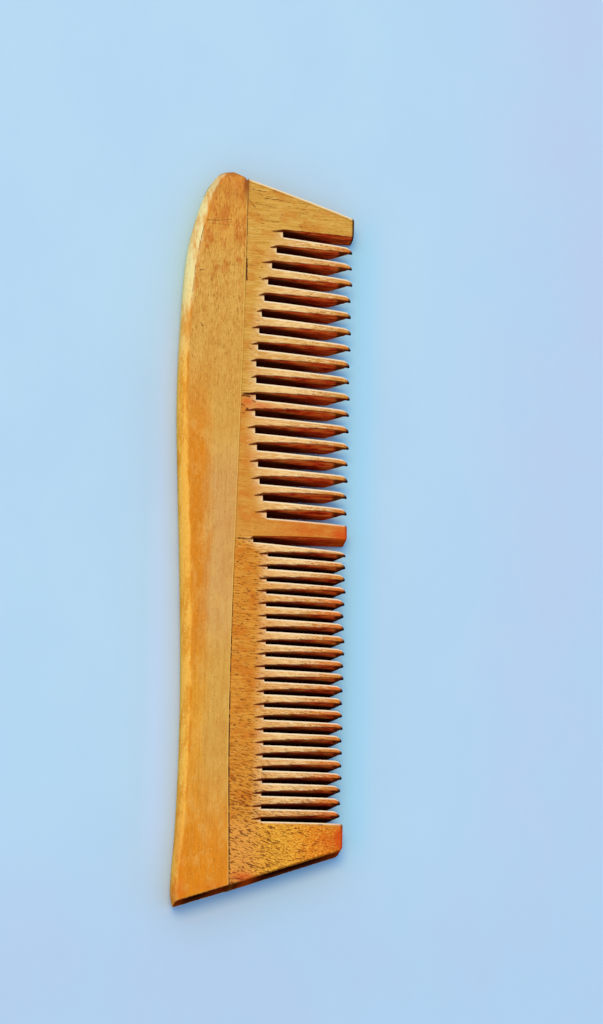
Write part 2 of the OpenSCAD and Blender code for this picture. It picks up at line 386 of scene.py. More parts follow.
class Gap:
    """One sawn gap: its centre line, its half width and the groove that eases its edges."""

    def __init__(self, y, root, root_w, tip_w, run, arch, widening, lit, deepest):
        self.y = y + rng.uniform(-0.05, 0.05)
        self.root = root + rng.uniform(-0.12, 0.12)
        self.root_w = root_w * rng.uniform(0.96, 1.04)
        self.tip_w = tip_w * rng.uniform(0.97, 1.03)
        self.run = run
        self.arch = arch
        self.widening = widening
        self.lit = lit
        self.deepest = deepest

    def centre(self, back):
        return fan_line(self.y, back)

    def half(self, back):
        t = np.clip((self.root - back) / (self.root - FLARE_BACK), 0, 1.3)
        return self.root_w + (self.tip_w - self.root_w) * t

    def brink(self, back, above):
        """Width of the groove's side on the tooth above the gap, or else on the one below it."""
        t = np.clip((self.root - back) / self.root, 0, 1)
        if above:
            return STEEP_EDGE + self.arch * np.sin(math.pi * t) ** 1.1 + self.widening * t ** 2
        return EASED_EDGE + 0 * t

    def depth(self, back, y):
        """Depth of the groove below the face, beyond the root too, where it runs out, and its steep side."""
        fade = np.clip(1 - (back - self.root) / self.run, 0, 1)
        half = self.half(back)
        aim = NEEDLE * half
        off = y - self.centre(back)
        above = STEEP * (aim + (half + self.brink(back, True) - aim) * fade - off)
        inward = off - aim + (half + self.brink(back, False) + aim) * fade
        below = np.minimum(EASED * inward, EASED * EASED_EDGE + SHALLOW * (inward - EASED_EDGE))
        needle = smoothstep(above / 0.16) * smoothstep((NEEDLE_WIDTH * fade ** 0.6 - above) / 0.2 + 1)
        return np.minimum(above, below) - 0.15 * np.clip(1 - fade * 6, 0, 1), above < below, needle

    def painted_shade(self, back, down):
        """Painted shade in the gap at a depth below the face: all of it at the root, less towards the tips.
        """
        along = np.clip((self.root - back) / self.root, 0, 1)
        brink = self.brink(back, True)
        span = brink + 2 * self.half(back)
        sunk = (np.minimum(down / STEEP, brink) + down * math.tan(TILT_DOWN)) / span
        return self.deepest * smoothstep(0.5 + (sunk - self.lit * along) / 0.4)


COARSE_RUN = (2.9, 1.8, 2.7, 1.8, 1.5, 1.3, 2.0, 1.8, 1.5, 1.4, 3.0, 2.9, 2.1, 2.3, 2.3, 2.2, 2.4, 3.1)
COARSE_ARCH = (0.05, 0.05, 0.1, 0.1, 0.15, 0.1, 0.2, 0.15, 0.2, 0.2, 0.2, 0.5, 0.3, 0.45, 0.5, 0.4, 0.5, 0.45)
# Half widths at the root and at FLARE_BACK, and what the groove above a gap widens by
COARSE_HALF = (0.92, 1.17)
FINE_HALF = (0.46, 0.64)
WIDENING = 0.45
COARSE_ROOT = 23.4
ROOT_BOW = 6.0
ROOT_BOW_Y = 37
ROOT_BOW_RUN = 41
ROOT_BOW_POWER = 2.4
FINE_ROOT = 19.5
# The fine gaps from this one on have straighter grooves
STRAIGHT_FROM = 18
# How far a gap's painted shade gives way towards the tips, and how dark that painted shade is at most
COARSE_LIT = 1.15
COARSE_DEEPEST = 0.75
FINE_LIT = 0.65
LEAST_LIT = 0.45
FINE_DEEPEST = 0.92
TILT_DOWN = math.radians(19)


def coarse_root(y):
    """Back of a coarse gap's root: the roots bow, deepest in the middle of the set."""
    return COARSE_ROOT - ROOT_BOW * (abs(y - ROOT_BOW_Y) / ROOT_BOW_RUN) ** ROOT_BOW_POWER


def coarse_gap(i):
    y = COARSE_TOP_Y - i * COARSE_PITCH
    return Gap(y, coarse_root(y), *COARSE_HALF, COARSE_RUN[i], COARSE_ARCH[i], WIDENING, COARSE_LIT,
               COARSE_DEEPEST)


def fine_gap(i):
    run, arch = rng.uniform(2.0, 2.9), rng.uniform(0.2, 0.36)
    if i >= STRAIGHT_FROM:
        arch = arch / 2
    lit = FINE_LIT + (LEAST_LIT - FINE_LIT) * smoothstep((i - 10) / 8)
    y = FINE_TOP_Y - i * FINE_PITCH
    return Gap(y, FINE_ROOT, *FINE_HALF, run, arch, WIDENING, lit, FINE_DEEPEST)


COARSE = [coarse_gap(i) for i in range(18)]
LONG = Gap(y=-1.55, root=23.2, root_w=0.68, tip_w=1.4, run=0.8, arch=0.15, widening=0.0, lit=COARSE_LIT,
           deepest=COARSE_DEEPEST)
FINE = [fine_gap(i) for i in range(22)]


class Lane:
    """A strip of a plate between two edges, such as a tooth with its root.

    high and low give the strip's edges along the comb, as functions of the back. Lanes that are gaps stop
    at the root, and the others run on to a tip.
    """

    def __init__(self, columns, high, low, roots, tip=None, tint=0.5):
        self.columns = columns
        self.high = high
        self.low = low
        self.roots = roots
        self.tip = tip
        self.tint = tint

    def root(self):
        return self.roots[0] + (self.roots[1] - self.roots[0]) * (1 - self.columns) / 2

    def place(self, back):
        """Place along the comb of each column, which runs from 1 at the high edge to -1 at the low one."""
        high, low = self.high(back), self.low(back)
        return (high + low) / 2 + self.columns * (high - low) / 2


class Tip:
    """The end of a tooth or guard, at a distance from the line of the tips.

    A tooth narrows over a length, to a power that says how full it stays, its faces close over a shorter
    length, its point lies towards the lower edge by a share of the half width, and its end is darkened with
    painted shade over a length called dot. A guard is square and as thick as the rest, with its two corners
    rounded.
    """

    def __init__(self, back, length=0.0, full=2.0, close=0.0, lean=0.0, dot=0.0, rise=None, square=False,
                 corners=(0.0, 0.0)):
        self.back = back
        self.length = length
        self.full = full
        self.close = close
        self.lean = lean
        self.dot = dot
        self.rise = rise
        self.square = square
        self.corners = corners


# Rows of a root area from the roots to the glue line, and of a blade from there to the tip
ROOT_ROWS = np.concatenate([np.linspace(0, 0.985, 24) ** 1.35, [0.993, 1]])
TIP_ROWS = 1 - (1 - np.linspace(0, 1, 46)) ** 1.6
# Columns of a guard or the divider, of a coarse tooth and of a fine one
GUARD_COLUMNS = 46
COARSE_COLUMNS = 17
FINE_COLUMNS = 13


def seam_end(lane):
    """Back of the glue line's edge for each column of a lane."""
    back = np.full(len(lane.columns), SEAM_BACK)
    for _ in range(4):
        back = seam_back(lane.place(back)) - GLUE_GAP / 2
    return back


def groove_looks(depth, steep):
    """Where a groove's painted shade line, painted highlight brink and inner wall are, from its depth and its
    steep side.
    """
    line = smoothstep(depth / 0.12 + 0.2) * steep
    pale = smoothstep(depth / 0.08 + 0.3) * ~steep
    return line - pale, smoothstep((depth - 0.08) / 0.22) * steep


def notch_looks(depth, steep, needle, back, root):
    """The same where the groove runs out beyond the root: a painted shade needle over a slightly paler patch
    of painted highlight.
    """
    pale = smoothstep(depth / 0.08 + 0.3) * ~steep * smoothstep(1 - (back - root) / 1.6) * 0.45
    return np.maximum(needle, 0) - pale * (1 - needle)


def root_area(piece, lane, gaps, ends):
    """The part of a lane between the glue line and the roots of its gaps."""
    root = lane.root()[None, :]
    seam = seam_end(lane)[None, :]
    back = root + (seam - root) * ROOT_ROWS[:, None]
    y = np.stack([lane.place(row) for row in back])
    cut = soft(SEAM_EDGE - (seam - back), 0.02) + end_edges(back, y, ends)
    edge = end_painted_light(back, y, ends)
    for gap in gaps:
        depth, steep, needle = gap.depth(back, y)
        cut = cut + soft(depth)
        edge = edge + notch_looks(depth, steep, needle * (depth > -0.05), back, gap.root)
    x = TIPS_X - back
    height = half_thick(back) - cut - dips(x, y, UNEVEN)
    guard = lane.tip and lane.tip.square
    values = {
        "edge": edge,
        "tooth": 0.0 if guard else smoothstep(1 - (back - root) / 3) * 0.5,
        "tint": 0.5 + (lane.tint - 0.5) * smoothstep(1 - (back - root) / 2),
        "seam": np.minimum(seam - back, SEAM_REACH) / SEAM_REACH,
    }
    mid = middle(back)
    piece.both_faces(x, y, mid, height, **values)
    piece.upright(x[-1], y[-1], mid[-1], height[-1], wall=0.6, seam=0.0)
    return x, y, mid, height


def end_edges(back, y, ends):
    """Rounding along the sloped end of a guard."""
    return sum((soft(GUARD_EDGE - np.abs(y - end(back)), 0.06) for end in ends), np.zeros_like(y))


def end_painted_light(back, y, ends):
    """Looks of that rounding: a pale painted highlight next to a browner line at the coarse end, and painted
    shade at the fine one.
    """
    away = np.min([np.abs(y - end(back)) for end in ends] + [np.full(y.shape, 9.0)], axis=0)
    pale = 0.3 * smoothstep(1 - np.abs(away - 0.85) / 0.3) - smoothstep(1.8 - away / 0.35)
    return np.where(y > 0, pale, 0.6 * smoothstep(1.5 - away / 0.3))


def blade(piece, lane, gaps, ends, start):
    """The part of a lane from the roots, where the root area gives its height, to the tip."""
    root = lane.root()[None, :]
    tip = lane.tip
    t = TIP_ROWS[:, None]
    back = root * (1 - t) + tip.back * t
    high = np.stack([lane.high(row) for row in back])
    low = np.stack([lane.low(row) for row in back])
    left = back - tip.back
    c = lane.columns[None, :]
    full = half_thick(back, tip.rise)
    if tip.square:
        high = high - rounding(left, tip.corners[0])
        low = low + rounding(left, tip.corners[1])
        narrow, closing = 1.0, 1.0
    else:
        gone = np.clip(1 - left / tip.length, 0, 1)
        narrow = (1 - gone ** tip.full) ** (1 / tip.full)
        closing = (1 - np.clip(1 - left / tip.close, 0, 1) ** 2.6) ** (1 / 2.2)
    half = (high - low) / 2 * narrow
    y = (high + low) / 2 + c * half - tip.lean * ((high - low) / 2 - half)
    cut = end_edges(back, y, ends)
    edge, wall, deep = end_painted_light(back, y, ends), 0, 0
    # shade is painted shade on a tooth's walls and underside near its tip; end is painted shade on the end of
    # a tooth or guard
    if tip.square:
        shade = 0
        end = smoothstep(1.8 - left / 0.4)
    else:
        shade = 0.88 * smoothstep((sum(tip.rise) / 2 + 0.5 - left) / 0.9)
        end = smoothstep(1.6 - (left + 0.3 * (1 + c)) / tip.dot)
    # Each groove's painted shade line and painted highlight brink, and painted shade deep in the gap
    for gap, above in gaps:
        off = half * ((1 + c) if above else (1 - c))
        depth = (STEEP if above else EASED) * (gap.brink(back, above) * narrow - off)
        cut = cut + soft(depth)
        looks = groove_looks(depth, np.full(depth.shape, above))
        edge, wall = edge + looks[0], wall + looks[1]
        deep = deep + looks[1] * np.maximum(gap.painted_shade(back, np.maximum(depth, 0)), shade)
    x = TIPS_X - back
    if tip.square:
        height = full - cut - rounding(left, GUARD_EDGE)
    else:
        side = np.sqrt(np.maximum(0, 1 - np.abs(c) ** 3))
        height = (full - cut) * closing * (side + (1 - side) * smoothstep(left / (0.8 * tip.length)))
    height = np.maximum(height - dips(x, y, UNEVEN_TEETH) * smoothstep(left), 0)
    height = height + (start - height[0]) * smoothstep(1 - (root - back) / BLEND)
    height = np.where(height < LEAST_HEIGHT, 0, height)
    mid = middle(back, tip.rise) + np.zeros_like(y)
    along = (root - back) / root
    values = {
        "edge": edge,
        "wall": wall,
        "deep": deep,
        "tooth": 0.0 if tip.square else 0.5 + 0.5 * smoothstep(along * 4),
        "tint": lane.tint,
        "seam": 1.0,
        "end": end,
    }
    piece.grid(x, y, mid + height, height == 0, **values)
    # The underside takes painted shade near the tip
    piece.grid(x, y, mid - height, height == 0, **{**values, "deep": shade})
    sides = {-1 if above else 0: gap for gap, above in gaps}
    for column in (0, -1):
        line = (x[:, column], y[:, column], mid[:, column], height[:, column])
        gap = sides.get(column)
        if gap:
            # Painted shade on the wall along the gap, from the gap's depth and from the tip
            dark = np.broadcast_to(shade, back.shape)[:, column]
            down = STEEP * gap.brink(back[:, column], True) + (1 - UP) * height[:, column]
            deep = np.maximum(gap.painted_shade(back[:, column], down), dark)
            piece.upright(*line, wall=1.0, deep=deep, tint=lane.tint, seam=1.0,
                          end=np.broadcast_to(end, back.shape)[:, column])
        else:
            end_wall(piece, *line, column)
    # A guard's end face, darkened with painted shade
    if tip.square:
        piece.upright(x[-1], y[-1], mid[-1], height[-1], wall=1.0, deep=0.8, tint=lane.tint, seam=1.0)


def end_wall(piece, x, y, mid, height, column):
    """The sawn end of a guard: brown with slight painted shade at the coarse end, and dark with painted shade
    at the fine one.
    """
    deep = LOW_END_PAINTED_SHADE if column else 0.1
    piece.upright(x, y, mid, height, wall=1.0, deep=deep, seam=0.5)


def column_spread(count):
    """Columns from 1 to -1, closer together near the edges."""
    return np.sin(np.linspace(math.pi / 2, -math.pi / 2, count))


def gap_lane(gap, upper, lower):
    """The strip beyond a gap's root, or the half of it that one plate holds at a joint."""
    columns = np.linspace(1, -1, 15 if upper and lower else 9)
    glue = GLUE_GAP / 2
    return Lane(
        columns,
        lambda back: gap.centre(back) + (gap.root_w if upper else -glue),
        lambda back: gap.centre(back) - (gap.root_w if lower else -glue),
        (gap.root, gap.root),
    )


def make_plate(name, node, material, gaps, guard_high, guard_low, tips):
    """One plate. gaps runs from the top down, and a guard line is None where a joint ends the plate."""
    piece = Piece()
    ends = [end for end in (guard_high, guard_low) if end]
    edges = ([None] if guard_high else []) + list(gaps) + ([None] if guard_low else [])
    for i, (over, under) in enumerate(zip(edges, edges[1:])):
        high = (lambda back, g=over: g.centre(back) - g.half(back)) if over else guard_high
        low = (lambda back, g=under: g.centre(back) + g.half(back)) if under else guard_low
        roots = ((over or under).root, (under or over).root)
        count = GUARD_COLUMNS if tips[i].square else (COARSE_COLUMNS if over in COARSE else FINE_COLUMNS)
        lane = Lane(column_spread(count), high, low, roots, tips[i], tint=rng.uniform(0, 1))
        beside = [gap for gap in (over, under) if gap]
        at_end = [] if over and under else ends
        x, y, mid, height = root_area(piece, lane, beside, at_end)
        sides = [(over, False)] if over else []
        sides += [(under, True)] if under else []
        blade(piece, lane, sides, at_end, height[0])
        for column, gap in ((0, over), (-1, under)):
            if not gap:
                end_wall(piece, x[:, column], y[:, column], mid[:, column], height[:, column], column)
    for i, gap in enumerate(gaps):
        upper = i > 0 or bool(guard_high)
        lower = i < len(gaps) - 1 or bool(guard_low)
        lane = gap_lane(gap, upper, lower)
        x, y, mid, height = root_area(piece, lane, [gap], [])
        # The wall at the gap's root, black with painted shade
        piece.upright(x[0], y[0], mid[0], height[0], wall=1.0, deep=1.0, seam=1.0)
        if not upper:
            piece.upright(x[:, 0], y[:, 0], mid[:, 0], height[:, 0], wall=1.0, seam=1.0)
        if not lower:
            piece.upright(x[:, -1], y[:, -1], mid[:, -1], height[:, -1], wall=1.0, seam=1.0)
    return piece.make(name, node, material)


def coarse_tip():
    dot = rng.uniform(0.75, 1.1)
    return Tip(back=rng.uniform(0.1, 0.45), length=rng.uniform(1.7, 2.2), full=1.9, close=0.6, lean=0.45,
               dot=dot, rise=COARSE_RISE)


def fine_tip():
    dot = rng.uniform(0.75, 1.1)
    return Tip(back=rng.uniform(0.2, 0.6), length=rng.uniform(1.5, 2.0), full=1.8, close=0.7, lean=0.4,
               dot=dot, rise=FINE_RISE)


def top_end(back):
    """Place along the comb of the top guard's sawn end."""
    return from_middle(BACK[0, 2]) - math.tan(TOP_SLOPE) * (SEAM_BACK - back)


def low_end(back):
    """Place along the comb of the low guard's sawn end."""
    return from_middle(BACK[-1, 2]) + math.tan(LOW_SLOPE) * (SEAM_BACK - back)


# Materials

IOR = 1.45
GLOSS = 0.12


class Nodes:
    """Short calls that add shader nodes and link them."""

    def __init__(self, name):
        self.material = bpy.data.materials.new(name)
        self.material.use_nodes = True
        self.tree = self.material.node_tree
        self.tree.nodes.clear()

    def add(self, kind, inputs=None, **settings):
        node = self.tree.nodes.new(kind)
        for key, value in settings.items():
            setattr(node, key, value)
        for key, value in (inputs or {}).items():
            if isinstance(value, bpy.types.NodeSocket):
                self.tree.links.new(value, node.inputs[key])
            else:
                node.inputs[key].default_value = value
        return node

    def math(self, operation, a, b=0.0, c=0.0, clamp=False):
        node = self.add("ShaderNodeMath", {0: a, 1: b, 2: c}, operation=operation, use_clamp=clamp)
        return node.outputs[0]

    def product(self, *factors):
        result = factors[0]
        for factor in factors[1:]:
            result = self.math("MULTIPLY", result, factor, clamp=True)
        return result

    def vector(self, operation, a, b=(0, 0, 0)):
        return self.add("ShaderNodeVectorMath", {0: a, 1: b}, operation=operation)

    def attribute(self, name):
        return self.add("ShaderNodeAttribute", attribute_name=name).outputs["Fac"]

    def position(self):
        """Place on the comb in millimetres."""
        coordinates = self.add("ShaderNodeTexCoord").outputs["Object"]
        return self.vector("MULTIPLY", coordinates, (1 / MM, 1 / MM, 1 / MM)).outputs[0]

    def parts(self, vector):
        return self.add("ShaderNodeSeparateXYZ", {0: vector}).outputs

    def stretched(self, vector, scale, turn=0.0):
        inputs = {"Vector": vector, "Scale": scale, "Rotation": (0, 0, turn)}
        return self.add("ShaderNodeMapping", inputs, vector_type="TEXTURE").outputs[0]

    def noise(self, vector, detail=3.0, roughness=0.55, distortion=0.0):
        inputs = {"Vector": vector, "Scale": 1.0, "Detail": detail, "Roughness": roughness,
                  "Distortion": distortion}
        return self.add("ShaderNodeTexNoise", inputs).outputs["Fac"]

    def ramp(self, value, low, high, to_low=0.0, to_high=1.0):
        """value from low to high, as a smooth step from to_low to to_high."""
        inputs = {"Value": value, "From Min": low, "From Max": high, "To Min": to_low, "To Max": to_high}
        node = self.add("ShaderNodeMapRange", inputs, interpolation_type="SMOOTHSTEP")
        return node.outputs[0]

    def mix(self, factor, a, b, blend="MIX"):
        node = self.add("ShaderNodeMix", data_type="RGBA", blend_type=blend)
        for key, value in (("Factor_Float", factor), ("A_Color", a), ("B_Color", b)):
            socket = next(s for s in node.inputs if s.identifier == key)
            if isinstance(value, bpy.types.NodeSocket):
                self.tree.links.new(value, socket)
            elif key == "Factor_Float":
                socket.default_value = value
            else:
                socket.default_value = (*value, 1.0)
        return next(s for s in node.outputs if s.identifier == "Result_Color")

    def strokes(self, place, lines):
        """Thin uneven marks, each a line from x, y to x, y with a width and a strength, seen from above."""
        inputs = {"Vector": self.stretched(place, (0.9, 0.9, 0.9)), "Scale": 1.0}
        uneven = self.add("ShaderNodeTexNoise", inputs).outputs["Color"]
        bend = self.vector("SUBTRACT", uneven, (0.5, 0.5, 0.5)).outputs[0]
        bend = self.vector("MULTIPLY", bend, (0.45, 0.45, 0)).outputs[0]
        flat = self.vector("ADD", place, bend).outputs[0]
        flat = self.vector("MULTIPLY", flat, (1, 1, 0)).outputs[0]
        wobble = self.math("MULTIPLY_ADD", self.noise(self.stretched(place, (0.5, 0.5, 0.5))), 0.3, -0.15)
        total = 0.0
        for x0, y0, x1, y1, width, strength in lines:
            start, run = Vector((x0, y0, 0)), Vector((x1 - x0, y1 - y0, 0))
            from_start = self.vector("SUBTRACT", flat, start).outputs[0]
            along = self.vector("DOT_PRODUCT", from_start, run / run.length_squared).outputs["Value"]
            along = self.math("ADD", along, 0.0, clamp=True)
            reach = self.add("ShaderNodeVectorMath", {0: run, "Scale": along}, operation="SCALE").outputs[0]
            away = self.vector("DISTANCE", from_start, reach).outputs["Value"]
            away = self.math("ADD", away, wobble)
            mark = self.ramp(away, width * 0.35, width * 0.9, strength, 0.0)
            total = self.math("MAXIMUM", total, mark)
        return total

    def finish(self, colour, roughness, height, bump, gloss=GLOSS):
        bumped = self.add("ShaderNodeBump", {"Height": height, "Strength": bump, "Distance": 0.1 * MM})
        shader = self.add("ShaderNodeBsdfPrincipled", {
            "Base Color": colour, "Roughness": roughness, "Normal": bumped.outputs[0],
            "IOR": IOR, "Specular IOR Level": gloss})
        output = self.add("ShaderNodeOutputMaterial")
        self.tree.links.new(shader.outputs[0], output.inputs[0])
        return self.material


def linear(red, green, blue):
    """A colour as it looks on a screen, from 0 to 255, in the shader's own scale."""
    def one(v):
        v = v / 255
        return v / 12.92 if v <= 0.04045 else ((v + 0.055) / 1.055) ** 2.4
    return (one(red), one(green), one(blue))


# The first four colours are painted shade: red-brown to olive for the walls, near-black where little light
# reaches; the rest are stains and the glue line
WALL_SHADE_RED = linear(214, 66, 22)
WALL_SHADE_BROWN = linear(218, 116, 42)
WALL_SHADE_DARK = linear(150, 30, 8)
DEEP_PAINTED_SHADE = linear(26, 3, 1)
STAIN_DARK = linear(140, 70, 18)
STAIN_RED = linear(214, 66, 0)
GLUE_DARK = linear(78, 30, 8)


def walls(n, colour, place):
    """Sawn walls, painted red-brown to olive as painted shade, and darker still with painted shade where
    little light reaches.
    """
    grain = n.noise(n.stretched(place, (4.0, 1.5, 0.6)), 3.0, 0.6)
    # sawn holds the walls' painted shade colour, streaked along the grain
    sawn = n.mix(n.ramp(grain, 0.45, 0.7), WALL_SHADE_RED, WALL_SHADE_BROWN)
    sawn = n.mix(n.ramp(grain, 0.5, 0.34), sawn, WALL_SHADE_DARK)
    colour = n.mix(n.attribute("wall"), colour, sawn)
    return n.mix(n.product(n.attribute("deep"), 0.97), colour, DEEP_PAINTED_SHADE)


def gloss(n):
    """The finish's shine, which the sawn walls and dark grooves lack."""
    bare = n.math("MAXIMUM", n.math("MAXIMUM", n.attribute("wall"), n.attribute("edge")), n.attribute("deep"))
    return n.ramp(bare, 0.1, 0.6, GLOSS, 0.0)


def spine_wood():
    n = Nodes("spine_wood")
    place = n.position()
    x, y, z = n.parts(place)[:3]
    streaks = n.noise(n.stretched(place, (0.5, 14.0, 4.0)), 5.0, 0.62)
    fine = n.noise(n.stretched(place, (0.22, 1.4, 0.8)), 3.0, 0.65)
    flecks = n.noise(n.stretched(place, (0.32, 0.5, 0.5)), 2.0, 0.6)
    clouds = n.noise(n.stretched(place, (2.5, 6.0, 4.0)), 4.0, 0.6)
    warm = n.noise(n.stretched(place, (1.6, 7.0, 4.0)), 4.0, 0.6)
    # Tan towards the glue line as a painted sheen, greyer in the middle; orange along the outer edge below
    # the top third, deeper at the low end
    left = n.ramp(n.math("ADD", x, n.math("MULTIPLY", warm, 5.0)), -8.5, -13.0)
    orange = n.mix(n.ramp(y, -22, -42), linear(222, 131, 22), linear(229, 153, 42))
    tan = n.mix(n.product(n.ramp(y, 28, 12), n.ramp(y, -34, -20)), linear(217, 162, 75), linear(216, 161, 92))
    colour = n.mix(n.product(left, n.ramp(y, 50, 20)), tan, orange)
    colour = n.mix(n.ramp(y, -52, -84, 0.0, 0.95), colour, linear(230, 132, 4))
    colour = n.mix(n.product(n.ramp(y, 66, 84), 0.9), colour, linear(224, 150, 56))
    colour = n.mix(n.ramp(streaks, 0.36, 0.66, 0.0, 0.35), colour, linear(196, 122, 36))
    colour = n.mix(n.ramp(clouds, 0.5, 0.68, 0.0, 0.3), colour, linear(234, 182, 98))
    colour = n.mix(n.product(n.ramp(clouds, 0.5, 0.36), n.ramp(y, 50, 75, 0.15, 0.8)), colour,
                   linear(198, 108, 34))
    # Short upright dashes and flecks, strongest near the top
    busy = n.ramp(y, 15, 65, 0.3, 1.0)
    colour = n.mix(n.product(n.ramp(fine, 0.54, 0.66), busy, 0.8), colour, linear(160, 86, 16))
    colour = n.mix(n.product(n.ramp(fine, 0.44, 0.34), busy, 0.5), colour, linear(244, 190, 106))
    colour = n.mix(n.ramp(flecks, 0.64, 0.74, 0.0, 0.7), colour, linear(248, 194, 100))
    colour = n.mix(n.ramp(flecks, 0.36, 0.28, 0.0, 0.6), colour, linear(160, 82, 14))
    # The band along the outer edge as a painted highlight: cream at the top with a dark hairline,
    # yellow-orange and speckled lower down
    band = n.attribute("edge")
    cream = n.mix(n.ramp(y, 36, 70), linear(252, 184, 78), linear(246, 228, 164))
    cream = n.mix(n.ramp(warm, 0.47, 0.66, 0.0, 0.75), cream, linear(228, 142, 34))
    cream = n.mix(n.ramp(fine, 0.56, 0.66, 0.0, 0.45), cream, linear(196, 112, 24))
    cream = n.mix(n.ramp(flecks, 0.58, 0.68, 0.0, 0.8), cream, linear(255, 208, 120))
    colour = n.mix(n.product(n.ramp(band, 0.0, 0.75), 0.92), colour, cream)
    inner = n.product(n.ramp(band, 0.0, 0.35), n.ramp(band, 0.8, 0.4), n.ramp(warm, 0.36, 0.56))
    colour = n.mix(n.product(inner, 0.7), colour, linear(214, 122, 10))
    colour = walls(n, colour, place)
    # A painted highlight along the back's upper face, next to the glue line
    seam = n.attribute("seam")
    colour = n.mix(n.product(n.ramp(seam, 0.01, 0.035, 0.75, 0.0), n.ramp(z, 5.5, 6.3)), colour,
                   linear(240, 186, 92))
    colour = n.mix(n.product(n.attribute("dark"), 0.75), colour, STAIN_DARK)
    colour = n.mix(n.product(n.attribute("red"), 0.8), colour, STAIN_RED)
    marks = n.product(n.strokes(place, SPINE_MARKS), n.ramp(z, 4.0, 5.0), 0.7)
    colour = n.mix(marks, colour, linear(104, 46, 6))
    height = n.math("ADD", n.math("MULTIPLY", streaks, 0.7), n.math("MULTIPLY", fine, 0.5))
    height = n.math("SUBTRACT", height, marks)
    return n.finish(colour, n.ramp(fine, 0.3, 0.7, 0.42, 0.6), height, 0.5, gloss(n))


SPINE_MARKS = (
    (-15.4, 79.4, -12.5, 79.5, 0.2, 0.9),
    (-12.5, 79.5, -9.4, 80.1, 0.17, 0.7),
    (-15.3, 78.65, -9.2, 78.5, 0.15, 0.5),
    (-16.2, 77.9, -16.8, 74.6, 0.16, 0.9),
    (-16.8, 74.6, -17.4, 71.3, 0.13, 0.7),
    (-17.9, 67.5, -18.6, 60.5, 0.13, 0.7),
    (-16.9, 66.2, -15.9, 66.4, 0.26, 0.9),
    (-16.4, 52.5, -15.8, 51.7, 0.26, 0.8),
    (-14.0, 90.9, -16.9, 84.6, 0.14, 0.8),
)


class Wood:
    """Colours of one plate: its tones, its pores' limit and its noise's shift."""

    def __init__(self, name, main, second, deep, pale, dark, pores, shift):
        self.name = name
        self.main = linear(*main)
        self.second = linear(*second)
        self.deep = linear(*deep)
        self.pale = linear(*pale)
        self.dark = linear(*dark)
        self.pores = pores
        self.shift = shift


